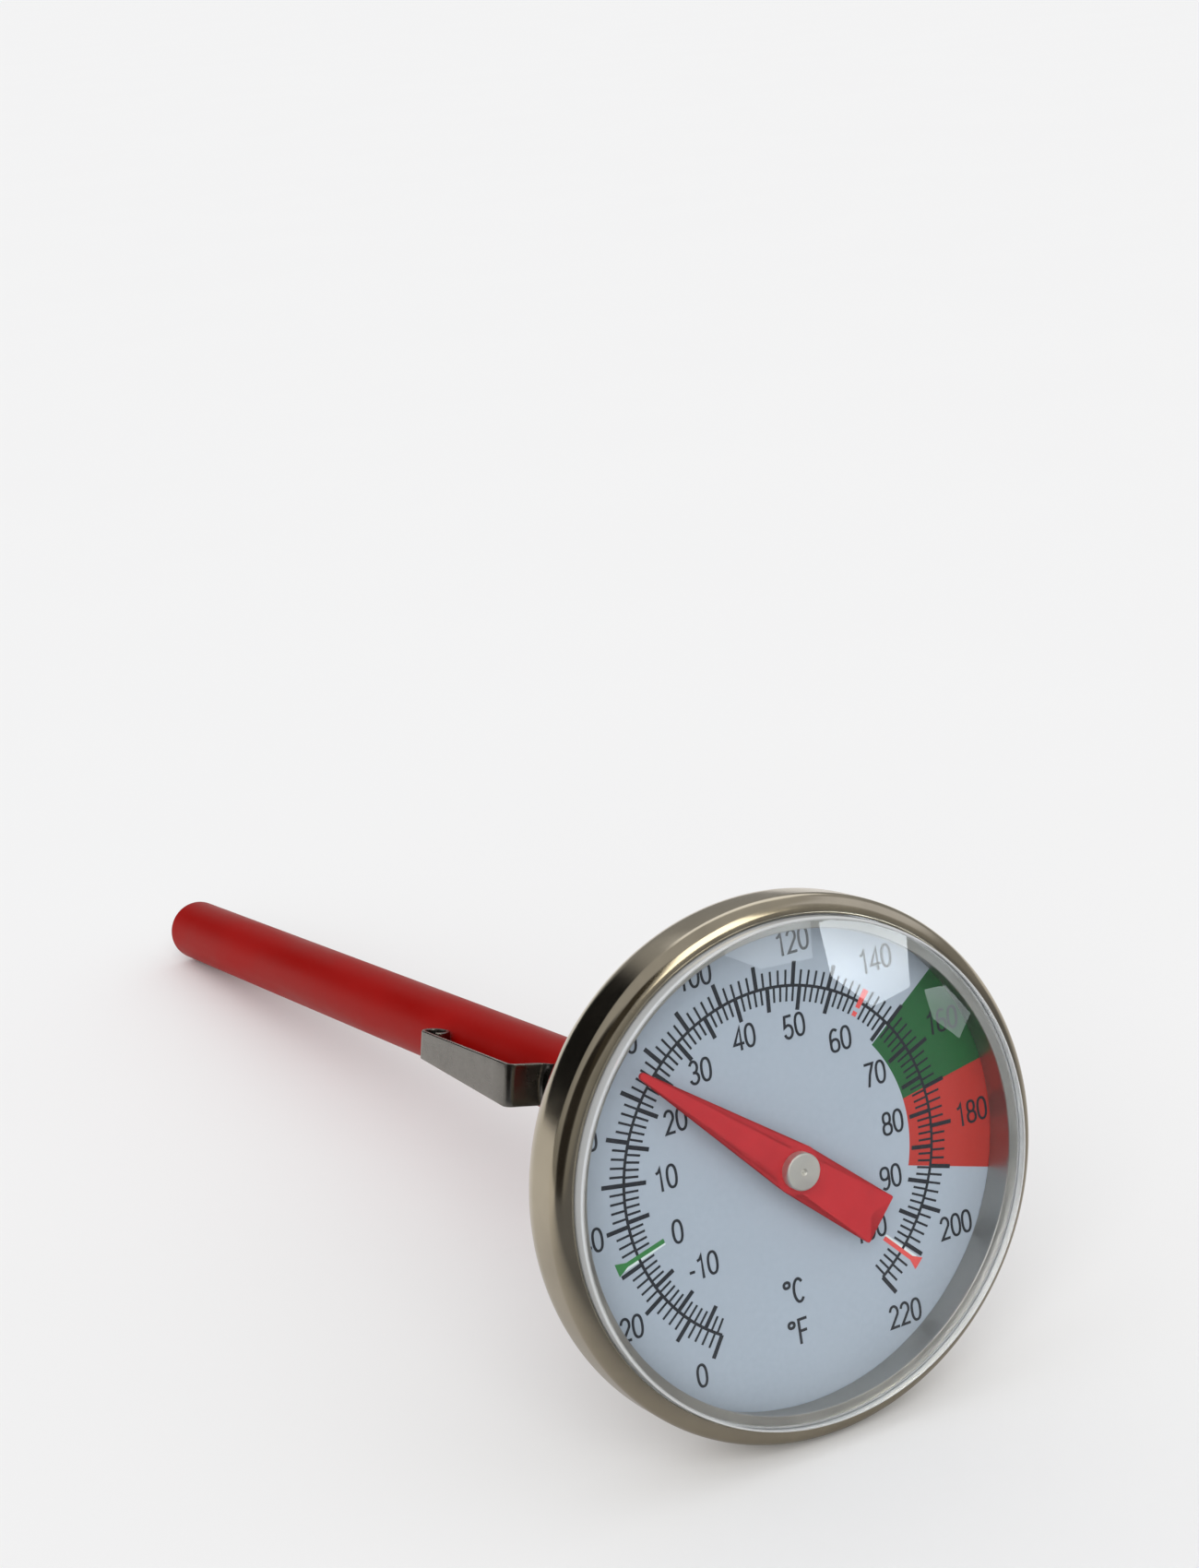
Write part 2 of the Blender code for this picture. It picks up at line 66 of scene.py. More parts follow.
def dial_frame():
    """The dial's axes, from the joint that the head turns on."""
    turn = next(joint for joint in frame["joints"] if joint["name"] == "calibration_turn")
    outward = Vector(turn["axis"]).normalized()
    right = Vector((1, 0, 0))
    axes = Matrix((right, outward.cross(right), outward)).transposed()
    return Matrix.Translation(turn["pos_m"]) @ axes.to_4x4()


DIAL_FRAME = dial_frame()
TO_DIAL = DIAL_FRAME.inverted()


def measure(node):
    """The largest radius about the dial's axis of a CAD node, and its lowest and highest point along it."""
    points = [TO_DIAL @ vertex.co / MM for vertex in frame["nodes"][node].data.vertices]
    heights = [point.z for point in points]
    return max(math.hypot(point.x, point.y) for point in points), min(heights), max(heights)


# Sizes read from the frame.
HEAD_RADIUS, HEAD_BACK, LIP_FRONT = measure("case")
FLANGE_RADIUS, RIM_FOOT, CRYSTAL_FRONT = measure("crystal")
WALL_RADIUS, WALL_FOOT, WALL_TOP = measure("dial_ring")
DIAL_RADIUS, DIAL_BACK, DIAL_FACE = measure("dial")
POINTER_LENGTH, POINTER_BACK, POINTER_FACE = measure("pointer")
CAP_RADIUS, CAP_BACK, CAP_FRONT = measure("pointer_cap")
BEAD_RADIUS, SHEATH_END, SHEATH_MOUTH = measure("sheath")
CLIP_RING_FRONT = measure("pocket_clip")[2]
STEM_RADIUS, STEM_BOTTOM, STEM_TOP = measure("stem_tube")
TIP_RADIUS, TIP_POINT, TIP_SPIGOT = measure("stem_tip")
NUT_BACK, SPIGOT_END = measure("calibration_nut")[1:]

# Sizes that the frame doesn't give.
SHEET = 0.6
BACK_CORNER = 4.2
LIP_ROLL = 1.4
LIP_EDGE = 20.95
CASE_HOLE = 4.2
WINDOW_RADIUS = 20.85
WINDOW_UNDERSIDE = 3.8
RIM_BORE = 20.8
WALL_BORE = 20.5
LEDGE_BORE = 19.8
LEDGE_SHEET = 0.35
FLANGE_TOP = 3.7
SHEATH_RADIUS = 3.5
SHEATH_BORE = 2.3
SHEATH_END_ROUND = 0.8
CLIP_SHEET = 0.4
CLIP_ANGLE = math.radians(167)
CLIP_RING_BACK = -32.5
CLIP_STEP = -35.0
CLIP_TIP = -56.0
CLIP_STANDOFF = 4.0
CLIP_TIP_STANDOFF = 2.8
NUT_FRONT = HEAD_BACK - 0.6
NUT_ACROSS_FLATS = 9.5
SPIGOT_RADIUS = 4.0

# An extra ring of points this far inside a rounded edge keeps the face beside it flat in shading.
FLAT = 0.1

# The dial's print: radii, and angles clockwise from 12 o'clock.
MIDDLE_F = 110.0
DEGREES_PER_F = 295 / 220
READING_F = 74.5
RING_RADIUS = 14.6
INK = 0.02

SEGMENTS = 256


# ---------------------------------------------------------------- mesh tools

def add_piece(name, bm, body, material, nodes=(), sharp=35):
    """Links a bmesh, in dial axes and millimetres, as a piece that rides on a body and stands for CAD nodes."""
    bmesh.ops.recalc_face_normals(bm, faces=bm.faces)
    bm.transform(Matrix.Scale(MM, 4))
    mesh = bpy.data.meshes.new(name)
    bm.to_mesh(mesh)
    bm.free()
    mesh.shade_smooth()
    mesh.set_sharp_from_angle(angle=math.radians(sharp))
    mesh.materials.append(material)
    obj = bpy.data.objects.new(name, mesh)
    bpy.context.scene.collection.objects.link(obj)
    obj.matrix_world = DIAL_FRAME
    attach(obj, body)
    if nodes:
        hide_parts(*nodes)
    return obj


def arc(centre, radius, start, end, steps=12):
    """Points (r, z) on an arc of a turned profile; angles are in degrees from the outward direction."""
    angles = [math.radians(start + (end - start) * i / steps) for i in range(steps + 1)]
    return [(centre[0] + radius * math.cos(a), centre[1] + radius * math.sin(a)) for a in angles]


def turned(profile, segments=SEGMENTS):
    """A profile of (r, z) points spun about the axis. A profile that ends on the axis is left open there."""
    on_axis = profile[0][0] == 0 and profile[-1][0] == 0
    bm = bmesh.new()
    points = [bm.verts.new((r, 0, z)) for r, z in profile]
    count = len(points)
    edges = [bm.edges.new((points[i], points[(i + 1) % count])) for i in range(count - on_axis)]
    bmesh.ops.spin(
        bm, geom=points + edges, cent=(0, 0, 0), axis=(0, 0, 1), angle=2 * math.pi, steps=segments
    )
    bmesh.ops.remove_doubles(bm, verts=bm.verts, dist=1e-4)
    return bm


def skin(bm, sections, closed=False):
    """Adds a skin over sections with the same number of points, with end caps or closed into a loop."""
    rings = [[bm.verts.new(point) for point in section] for section in sections]
    count = len(rings[0])
    pairs = list(zip(rings, rings[1:]))
    if closed:
        pairs.append((rings[-1], rings[0]))
    for near, far in pairs:
        for i in range(count):
            j = (i + 1) % count
            bm.faces.new((near[i], near[j], far[j], far[i]))
    if not closed:
        bm.faces.new(rings[0])
        bm.faces.new(rings[-1])


def extruded(outline, low, high):
    bm = bmesh.new()
    skin(bm, [[(x, y, height) for x, y in outline] for height in (low, high)])
    return bm


def carve(target, tool, operation):
    """Applies an exact Boolean of two bmeshes and returns the result."""
    objects = []
    for bm in (target, tool):
        bmesh.ops.recalc_face_normals(bm, faces=bm.faces)
        mesh = bpy.data.meshes.new("carve")
        bm.to_mesh(mesh)
        bm.free()
        obj = bpy.data.objects.new("carve", mesh)
        bpy.context.scene.collection.objects.link(obj)
        objects.append(obj)
    modifier = objects[0].modifiers.new("carve", "BOOLEAN")
    modifier.operation = operation
    modifier.solver = "EXACT"
    modifier.object = objects[1]
    graph = bpy.context.evaluated_depsgraph_get()
    result = bmesh.new()
    result.from_mesh(objects[0].evaluated_get(graph).data)
    for obj in objects:
        mesh = obj.data
        bpy.data.objects.remove(obj)
        bpy.data.meshes.remove(mesh)
    return result


# ---------------------------------------------------------------- materials

class Surface:
    """A Principled material whose detail comes from noise in the piece's own coordinates."""

    def __init__(self, name, colour, roughness, metallic=0.0, **sockets):
        self.material = bpy.data.materials.new(name)
        self.material.use_nodes = True
        self.tree = self.material.node_tree
        self.shader = self.tree.nodes["Principled BSDF"]
        self.shader.inputs["Base Color"].default_value = (*colour, 1)
        self.shader.inputs["Roughness"].default_value = roughness
        self.shader.inputs["Metallic"].default_value = metallic
        for socket, value in sockets.items():
            self.shader.inputs[socket.replace("_", " ")].default_value = value
        self.coords = self.add("TexCoord").outputs["Object"]

    def add(self, kind, *inputs, **settings):
        """Adds a node. Inputs, in order, are sockets to link or values to set; None leaves one alone."""
        node = self.tree.nodes.new("ShaderNode" + kind)
        for setting, value in settings.items():
            setattr(node, setting, value)
        for socket, value in zip(node.inputs, inputs):
            if isinstance(value, bpy.types.NodeSocket):
                self.tree.links.new(value, socket)
            elif value is not None:
                socket.default_value = value
        return node

    def math(self, operation, *values):
        return self.add("Math", *values, operation=operation).outputs[0]

    def noise(self, size_mm, detail=3.0, stretch=(1, 1, 1), vector=None, rough=0.5):
        """Noise from 0 to 1 with features of about that size, stretched along each axis."""
        scaled = self.add("VectorMath", vector or self.coords, stretch, operation="DIVIDE").outputs[0]
        texture = self.add("TexNoise", noise_dimensions="3D")
        self.tree.links.new(scaled, texture.inputs["Vector"])
        texture.inputs["Scale"].default_value = 1 / (size_mm * MM)
        texture.inputs["Detail"].default_value = detail
        texture.inputs["Roughness"].default_value = rough
        return texture.outputs[0]

    def round_coords(self, turn_mm=0.0):
        """Coordinates (turn, radius, height) about the axis, for marks that run round a turned piece."""
        parts = self.add("SeparateXYZ", self.coords).outputs
        flat = self.add("CombineXYZ", parts[0], parts[1], 0.0).outputs[0]
        radius = self.add("VectorMath", flat, operation="LENGTH").outputs["Value"]
        heading = self.add("VectorMath", flat, operation="NORMALIZE").outputs[0]
        turn = self.add("VectorMath", heading, (turn_mm * MM,) * 3, operation="MULTIPLY").outputs[0]
        split = self.add("SeparateXYZ", turn).outputs
        along = self.math("ADD", split[1], radius)
        height = self.math("ADD", radius, parts[2])
        return self.add("CombineXYZ", split[0], along, height).outputs[0]

    def remap(self, value, low, high, start=0.3, end=0.7):
        """The value stretched from start..end to low..high."""
        return self.add("MapRange", value, start, end, low, high).outputs[0]

    def mix(self, factor, first, second):
        """A colour between two colours."""
        node = self.add("Mix", data_type="RGBA")
        self.tree.links.new(factor, node.inputs["Factor"])
        colour_inputs = [socket for socket in node.inputs if socket.type == "RGBA"]
        for socket, colour in zip(colour_inputs, (first, second)):
            if isinstance(colour, bpy.types.NodeSocket):
                self.tree.links.new(colour, socket)
            else:
                socket.default_value = (*colour, 1)
        return next(socket for socket in node.outputs if socket.type == "RGBA")

    def drive(self, socket, value):
        self.tree.links.new(value, self.shader.inputs[socket])
        return self

    def mirrored(self):
        """1 for rays that the camera sees by reflection in something glossy."""
        paths = self.add("LightPath").outputs
        direct = self.math("LESS_THAN", paths["Diffuse Depth"], 0.5)
        return self.math("MULTIPLY", paths["Is Glossy Ray"], direct)

    def bump(self, height, depth_mm, strength=1.0):
        node = self.add("Bump")
        node.inputs["Strength"].default_value = strength
        node.inputs["Distance"].default_value = depth_mm * MM
        self.tree.links.new(height, node.inputs["Height"])
        return self.drive("Normal", node.outputs[0])


def polished_steel(name, colour, roughness, line_mm=0.05, depth_mm=0.0015):
    """Turned and polished steel: fine lines round the axis, with soft smears and a few darker spots."""
    steel = Surface(name, colour, roughness, metallic=1.0)
    lines = steel.noise(line_mm, detail=4, vector=steel.round_coords(turn_mm=0.6))
    smears = steel.noise(5.0, detail=5, rough=0.6)
    steel.drive("Roughness", steel.remap(smears, roughness * 0.75, roughness * 1.5))
    darker = tuple(channel * 0.84 for channel in colour)
    steel.drive("Base Color", steel.mix(steel.remap(smears, 0, 1), darker, colour))
    return steel.bump(lines, depth_mm).material


def strip_steel(name, colour, roughness):
    """Rolled spring steel: fine lines along the strip, which runs along the axis."""
    steel = Surface(name, colour, roughness, metallic=1.0)
    lines = steel.noise(0.06, detail=4, stretch=(1, 1, 30))
    smears = steel.noise(2.0, detail=4, rough=0.6)
    steel.drive("Roughness", steel.remap(smears, roughness * 0.7, roughness * 1.4))
    darker = tuple(channel * 0.8 for channel in colour)
    steel.drive("Base Color", steel.mix(steel.remap(lines, 0, 1), darker, colour))
    return steel.bump(lines, 0.002).material


def clear_plastic():
    """Clear moulded plastic with a frosted rim. Rays from lamps pass straight through, to light the dial."""
    clear = Surface("clear_plastic", (0.97, 0.99, 1.0), 0.0, Transmission_Weight=1.0, IOR=1.49)
    haze = clear.noise(3.0, detail=6, rough=0.7)
    clear.drive("Roughness", clear.remap(haze, 0.0, 0.03, start=0.5, end=0.8))
    flat = clear.add("VectorMath", clear.coords, (1, 1, 0), operation="MULTIPLY").outputs[0]
    radius = clear.add("VectorMath", flat, operation="LENGTH").outputs["Value"]
    frost_start, frost_end = (WINDOW_RADIUS - 0.3) * MM, (WINDOW_RADIUS - 0.1) * MM
    rim = clear.remap(radius, 0, 0.6, start=frost_start, end=frost_end)
    clear.drive("Base Color", clear.mix(rim, (0.97, 0.99, 1.0), (0.62, 0.63, 0.63)))
    clear.drive("Transmission Weight", clear.math("SUBTRACT", 1.0, rim))
    tree = clear.tree
    open_way = clear.add("BsdfTransparent", (0.94, 0.95, 0.96, 1))
    light_path = clear.add("LightPath")
    mixed = clear.add("MixShader", light_path.outputs["Is Shadow Ray"])
    tree.links.new(clear.shader.outputs[0], mixed.inputs[1])
    tree.links.new(open_way.outputs[0], mixed.inputs[2])
    tree.links.new(mixed.outputs[0], tree.nodes["Material Output"].inputs["Surface"])
    return clear.material


def dial_enamel():
    """Cool white enamel with a faint mottle."""
    enamel = Surface("dial_enamel", (0.41, 0.465, 0.53), 0.5, Specular_IOR_Level=0.3)
    mottle = enamel.noise(0.5, detail=4)
    cloud = enamel.noise(9.0, detail=2)
    fine = enamel.mix(enamel.remap(mottle, 0, 1), (0.4, 0.455, 0.52), (0.425, 0.48, 0.545))
    enamel.drive("Base Color", enamel.mix(enamel.remap(cloud, 0, 0.6), fine, (0.43, 0.478, 0.54)))
    return enamel.bump(mottle, 0.001).material


def ink(name, colour, patchy=0.15):
    """Screen-printed ink, a little uneven."""
    printed = Surface(name, colour, 0.45, Specular_IOR_Level=0.25)
    grain = printed.noise(0.12, detail=5, rough=0.65)
    lighter = tuple(min(1, channel * (1 + patchy) + patchy * 0.03) for channel in colour)
    printed.drive("Base Color", printed.mix(printed.remap(grain, 0, 1), colour, lighter))
    return printed.bump(grain, 0.001).material


def red_paint():
    """Satin red paint, a little uneven."""
    paint = Surface("pointer_paint", (0.5, 0.018, 0.022), 0.4, Specular_IOR_Level=0.3)
    grain = paint.noise(0.15, detail=4)
    cloud = paint.remap(paint.noise(3.0), 0, 1)
    paint.drive("Base Color", paint.mix(cloud, (0.48, 0.012, 0.018), (0.55, 0.016, 0.022)))
    return paint.bump(grain, 0.002).material


def sheath_plastic():
    """Satin red moulded plastic with a fine grain and faint drag lines along its length."""
    plastic = Surface(
        "sheath_plastic", (0.31, 0.003, 0.002), 0.42, Specular_IOR_Level=0.03
    )
    grain = plastic.noise(0.12, detail=4, rough=0.6)
    drag = plastic.noise(0.25, detail=3, stretch=(1, 1, 40))
    cloud = plastic.noise(7.0, detail=3, stretch=(1, 1, 2))
    plastic.drive(
        "Base Color", plastic.mix(plastic.remap(cloud, 0, 1), (0.27, 0.002, 0.001), (0.32, 0.004, 0.003))
    )
    plastic.drive("Roughness", plastic.remap(cloud, 0.34, 0.46))
    both = plastic.math("MULTIPLY_ADD", drag, 0.8, grain)
    return plastic.bump(both, 0.004).material


def soft_rubber():
    rubber = Surface("rubber", (0.02, 0.02, 0.022), 0.65)
    grain = rubber.noise(0.1, detail=4)
    rubber.drive("Roughness", rubber.remap(grain, 0.55, 0.8))
    return rubber.bump(grain, 0.01).material


def silicone_rubber():
    silicone = Surface("silicone", (0.5, 0.5, 0.48), 0.6)
    grain = silicone.noise(0.1, detail=4)
    silicone.drive("Roughness", silicone.remap(grain, 0.5, 0.7))
    return silicone.bump(grain, 0.005).material


def moulded_grey():
    plastic = Surface("grey_plastic", (0.3, 0.31, 0.32), 0.5)
    grain = plastic.noise(0.15, detail=4)
    share = plastic.remap(grain, 0, 1)
    plastic.drive("Base Color", plastic.mix(share, (0.27, 0.28, 0.29), (0.33, 0.34, 0.35)))
    return plastic.bump(grain, 0.005).material


def floor_material():
    """Pale paper. Glossy surfaces see a painted reflection of it: a dimmer floor, darkest towards the front and
    warm grey behind, so that they keep their contrast.
    """
    floor = Surface("floor", (0.86, 0.86, 0.86), 0.9)
    floor.shader.inputs["Specular IOR Level"].default_value = 0.0
    cloud = floor.noise(60.0, detail=2)
    paper = floor.mix(floor.remap(cloud, 0, 1), (0.858, 0.858, 0.858), (0.862, 0.862, 0.862))
    # Painted reflection: for glossy rays the floor's colour is painted from dark at the front to warm grey
    # behind.
    front_to_back = floor.add("SeparateXYZ", floor.coords).outputs[1]
    painted_reflection_fade = floor.remap(front_to_back, 0, 1, start=-0.13, end=0.0)
    painted_reflection_floor = floor.mix(painted_reflection_fade, (0.2, 0.2, 0.205), (0.86, 0.83, 0.79))
    floor.drive("Base Color", floor.mix(floor.mirrored(), paper, painted_reflection_floor))
    return floor.material


CASE_STEEL = polished_steel("case_steel", (0.43, 0.385, 0.3), 0.13)
RING_STEEL = polished_steel("ring_steel", (0.5, 0.48, 0.44), 0.35)
SILICONE = silicone_rubber()
STEM_STEEL = polished_steel("stem_steel", (0.56, 0.54, 0.5), 0.2, line_mm=0.08)
CAP_METAL = polished_steel("cap_metal", (0.82, 0.79, 0.73), 0.5, line_mm=0.04, depth_mm=0.004)
CLIP_STEEL = strip_steel("clip_steel", (0.18, 0.175, 0.165), 0.24)
BIMETAL = strip_steel("bimetal", (0.46, 0.42, 0.36), 0.35)
BRASS = polished_steel("brass", (0.7, 0.5, 0.22), 0.3)
CLEAR = clear_plastic()
ENAMEL = dial_enamel()
BLACK_INK = ink("black_ink", (0.012, 0.014, 0.02))
GREEN_INK = ink("green_ink", (0.012, 0.1, 0.025))
RED_INK = ink("red_ink", (0.45, 0.03, 0.02))
MARKER_GREEN = ink("marker_green", (0.035, 0.2, 0.05))
MARKER_RED = ink("marker_red", (0.75, 0.09, 0.08))
WHITE_INK = ink("white_ink", (0.7, 0.78, 0.76), patchy=0.03)
POINTER_RED = red_paint()
SHEATH_RED = sheath_plastic()
RUBBER = soft_rubber()
GREY_PLASTIC = moulded_grey()


# ---------------------------------------------------------------- head

def make_case():
    back_centre = (HEAD_RADIUS - BACK_CORNER, HEAD_BACK + BACK_CORNER)
    lip_centre = (HEAD_RADIUS - LIP_ROLL, LIP_FRONT - LIP_ROLL)
    edge = 0.12
    profile = [(CASE_HOLE, HEAD_BACK), (HEAD_RADIUS - BACK_CORNER - FLAT, HEAD_BACK)]
    profile += arc(back_centre, BACK_CORNER, -90, 0, 24)
    profile += arc(lip_centre, LIP_ROLL, 0, 90, 16)
    profile += arc((LIP_EDGE + edge, LIP_FRONT - edge), edge, 90, 180, 5)
    profile += arc((LIP_EDGE + edge, LIP_FRONT - SHEET + edge), edge, 180, 270, 4)
    profile += arc(lip_centre, LIP_ROLL - SHEET, 90, 0, 10)
    profile += arc(back_centre, BACK_CORNER - SHEET, 0, -90, 20)
    profile += [(CASE_HOLE, HEAD_BACK + SHEET)]
    add_piece("case_shell", turned(profile), "head", CASE_STEEL, ["case"])


def make_crystal():
    """A thick flat window. Its front edge and the corners of its rim are a little rounded."""
    edge = 0.2
    corner = 0.12
    profile = [(0, WINDOW_UNDERSIDE), (RIM_BORE - corner - FLAT, WINDOW_UNDERSIDE)]
    profile += [(RIM_BORE - corner, WINDOW_UNDERSIDE)]
    profile += [(RIM_BORE - corner * 0.3, WINDOW_UNDERSIDE - corner * 0.3)]
    profile += [(RIM_BORE, WINDOW_UNDERSIDE - corner), (RIM_BORE, RIM_FOOT)]
    profile += [(FLANGE_RADIUS, RIM_FOOT), (FLANGE_RADIUS, FLANGE_TOP)]
    profile += [(WINDOW_RADIUS, FLANGE_TOP)]
    profile += arc((WINDOW_RADIUS - edge, CRYSTAL_FRONT - edge), edge, 0, 90, 8)
    profile += [(WINDOW_RADIUS - edge - FLAT, CRYSTAL_FRONT), (0, CRYSTAL_FRONT)]
    add_piece("crystal_window", turned(profile), "head", CLEAR, ["crystal"], sharp=25)


def make_wall_ring():
    """The head's inner wall, between the dial and the window, with a ledge that the window rests on."""
    edge = 0.06
    shoulder = RIM_FOOT - 0.05
    outside = RIM_BORE - 0.05
    fillet = 0.2
    underside = WALL_TOP - LEDGE_SHEET
    profile = [(WALL_BORE, WALL_FOOT), (WALL_RADIUS, WALL_FOOT), (WALL_RADIUS, shoulder)]
    profile += [(outside, shoulder), (outside, WALL_TOP)]
    profile += [(LEDGE_BORE + edge, WALL_TOP), (LEDGE_BORE, WALL_TOP - edge)]
    profile += [(LEDGE_BORE, underside + edge), (LEDGE_BORE + edge, underside)]
    profile += arc((WALL_BORE - fillet, underside - fillet), fillet, 90, 0, 5)
    add_piece("wall_ring", turned(profile), "head", RING_STEEL, ["dial_ring"])


def make_dial():
    hole = 1.2
    edge = 0.05
    profile = [
        (hole, DIAL_BACK), (DIAL_RADIUS - edge, DIAL_BACK), (DIAL_RADIUS, DIAL_BACK + edge),
        (DIAL_RADIUS, DIAL_FACE - edge), (DIAL_RADIUS - edge, DIAL_FACE), (hole, DIAL_FACE),
    ]
    add_piece("dial_plate", turned(profile), "head", ENAMEL, ["dial"])


# ---------------------------------------------------------------- print

def dial_angle(fahrenheit):
    """Degrees clockwise from 12 o'clock."""
    return (fahrenheit - MIDDLE_F) * DEGREES_PER_F


def fahrenheit_of(celsius):
    return celsius * 1.8 + 32


def on_dial(radius, degrees, side=0.0):
    """A point at a radius and a clockwise angle, moved sideways, clockwise, by side."""
    a = math.radians(degrees)
    return (
        radius * math.sin(a) + side * math.cos(a),
        radius * math.cos(a) - side * math.sin(a),
    )


def slab(bm, left, right, layer, closed=False):
    """Adds a flat band of ink between two lines of points, one layer of ink up from the last."""
    low, high = DIAL_FACE + 0.1 * INK, DIAL_FACE + INK * layer
    sections = [[(*a, low), (*b, low), (*b, high), (*a, high)] for a, b in zip(left, right)]
    skin(bm, sections, closed)


def radial_mark(bm, degrees, inner, outer, width, layer, outer_width=None):
    """A radial line, which may widen outwards."""
    half_in, half_out = width / 2, (outer_width or width) / 2
    left = [on_dial(inner, degrees, -half_in), on_dial(outer, degrees, -half_out)]
    right = [on_dial(inner, degrees, half_in), on_dial(outer, degrees, half_out)]
    slab(bm, left, right, layer)


def ring_band(bm, inner, outer, start, end, layer, steps):
    angles = [start + (end - start) * i / steps for i in range(steps + 1)]
    slab(bm, [on_dial(inner, a) for a in angles], [on_dial(outer, a) for a in angles], layer)


def make_scale():
    """The scales share one ring line: Fahrenheit outside it, Celsius inside."""
    minor, major = 0.19, 0.36
    minor_length, major_length = 1.3, 2.0
    freezing, caution = 32, 140
    bm = bmesh.new()
    ring_band(bm, RING_RADIUS - 0.125, RING_RADIUS + 0.125, dial_angle(0), dial_angle(220), 1.0, 160)
    for fahrenheit in range(0, 221, 2):
        if fahrenheit in (freezing, 212):
            continue
        bold = fahrenheit % 10 == 0
        if fahrenheit == caution:
            continue
        reach = RING_RADIUS + (major_length if bold else minor_length)
        radial_mark(bm, dial_angle(fahrenheit), RING_RADIUS, reach, major if bold else minor, 1.1)
    for celsius in range(-17, 105):
        if celsius in (0, 60, 100):
            continue
        bold = celsius % 5 == 0
        reach = RING_RADIUS - (major_length if bold else minor_length)
        angle = dial_angle(fahrenheit_of(celsius))
        radial_mark(bm, angle, reach, RING_RADIUS, major if bold else minor, 1.1)
    add_piece("dial_scale", bm, "head", BLACK_INK)


def make_zones():
    """The green band runs from 150 to 170 and the red band from 170 to 190 degrees Fahrenheit."""
    inner, outer = 12.4, DIAL_RADIUS - 0.3
    for name, low, high, material in (
        ("zone_green", 150, 170, GREEN_INK), ("zone_red", 170, 190, RED_INK),
    ):
        bm = bmesh.new()
        ring_band(bm, inner, outer, dial_angle(low), dial_angle(high), 0.6, 24)
        add_piece(name, bm, "head", material)


def make_markers():
    """Flagged lines at the freezing and boiling points, and a caution mark at 60 degrees Celsius."""
    halo = bmesh.new()
    for name, fahrenheit, inner, outer, material in (
        ("marker_freezing", 32, 12.05, 16.7, MARKER_GREEN),
        ("marker_boiling", 212, 12.45, 16.8, MARKER_RED),
    ):
        angle = dial_angle(fahrenheit)
        bm = bmesh.new()
        radial_mark(bm, angle, inner, outer - 0.9, 0.38, 1.5)
        radial_mark(bm, angle, outer - 0.95, outer, 0.38, 1.6, outer_width=1.15)
        add_piece(name, bm, "head", material)
        radial_mark(halo, angle - 0.9, inner, outer - 0.6, 0.34, 0.9)
    add_piece("marker_halo", halo, "head", WHITE_INK)
    caution = bmesh.new()
    angle = dial_angle(140)
    radial_mark(caution, angle, 14.1, 15.75, 0.42, 1.5, outer_width=0.55)
    radial_mark(caution, angle, 13.35, 13.75, 0.42, 1.5)
    add_piece("marker_caution", caution, "head", MARKER_RED)


def ellipse(x, y, rx, ry, start, end, steps=14):
    """Points on an ellipse between two angles in degrees, anticlockwise from the right."""
    angles = [math.radians(start + (end - start) * i / steps) for i in range(steps + 1)]
    return [(x + rx * math.cos(a), y + ry * math.sin(a)) for a in angles]


def oval(x, y, rx, ry, steps=28):
    """A closed loop, a little squarer than an ellipse."""
    squareness = 0.85
    points = []
    for i in range(steps):
        a = 2 * math.pi * i / steps
        cos, sin = math.cos(a), math.sin(a)
        across, up = (math.copysign(abs(part) ** squareness, part) for part in (cos, sin))
        points.append((x + rx * across, y + ry * up))
    return points


# Each character: its width, then its strokes as (closed, points), in a box one unit high.
GLYPHS = {
    "0": (0.44, [(True, oval(0.22, 0.5, 0.165, 0.445))]),
    "1": (0.44, [(False, [(0.1, 0.76), (0.2, 0.8), (0.265, 0.945), (0.265, 0.0)])]),
    "2": (0.44, [(False, ellipse(0.215, 0.69, 0.15, 0.255, 170, -25) + [(0.06, 0.055), (0.385, 0.055)])]),
    "3": (0.44, [
        (False, ellipse(0.21, 0.715, 0.135, 0.23, 160, -80) + [(0.17, 0.485)]),
        (False, [(0.17, 0.5)] + ellipse(0.21, 0.275, 0.155, 0.22, 75, -165)),
    ]),
    "4": (0.44, [(False, [(0.3, 0.0), (0.3, 0.92), (0.045, 0.27), (0.42, 0.27)])]),
    "5": (0.44, [
        (
            False,
            [(0.37, 0.945), (0.12, 0.945), (0.085, 0.52)] + ellipse(0.21, 0.32, 0.155, 0.265, 110, -160),
        ),
    ]),
    "6": (0.44, [
        (True, oval(0.22, 0.3, 0.155, 0.245)),
        (False, ellipse(0.23, 0.6, 0.165, 0.345, 50, 180) + [(0.065, 0.3)]),
    ]),
    "7": (0.44, [(False, [(0.05, 0.945), (0.385, 0.945), (0.24, 0.5), (0.16, 0.0)])]),
    "8": (0.44, [(True, oval(0.22, 0.725, 0.135, 0.22)), (True, oval(0.22, 0.28, 0.16, 0.225))]),
    "9": (0.44, [
        (True, oval(0.22, 0.7, 0.155, 0.245)),
        (False, ellipse(0.21, 0.4, 0.165, 0.345, 230, 360) + [(0.375, 0.7)]),
    ]),
    "-": (0.26, [(False, [(0.03, 0.37), (0.23, 0.37)])]),
    "o": (0.3, [(True, oval(0.14, 0.82, 0.1, 0.11, steps=16))]),
    "C": (0.46, [(False, ellipse(0.24, 0.5, 0.175, 0.445, 42, 318, 20))]),
    "F": (0.44, [(False, [(0.1, 0.0), (0.1, 0.945), (0.4, 0.945)]), (False, [(0.1, 0.5), (0.36, 0.5)])]),
}
STROKE = 0.11


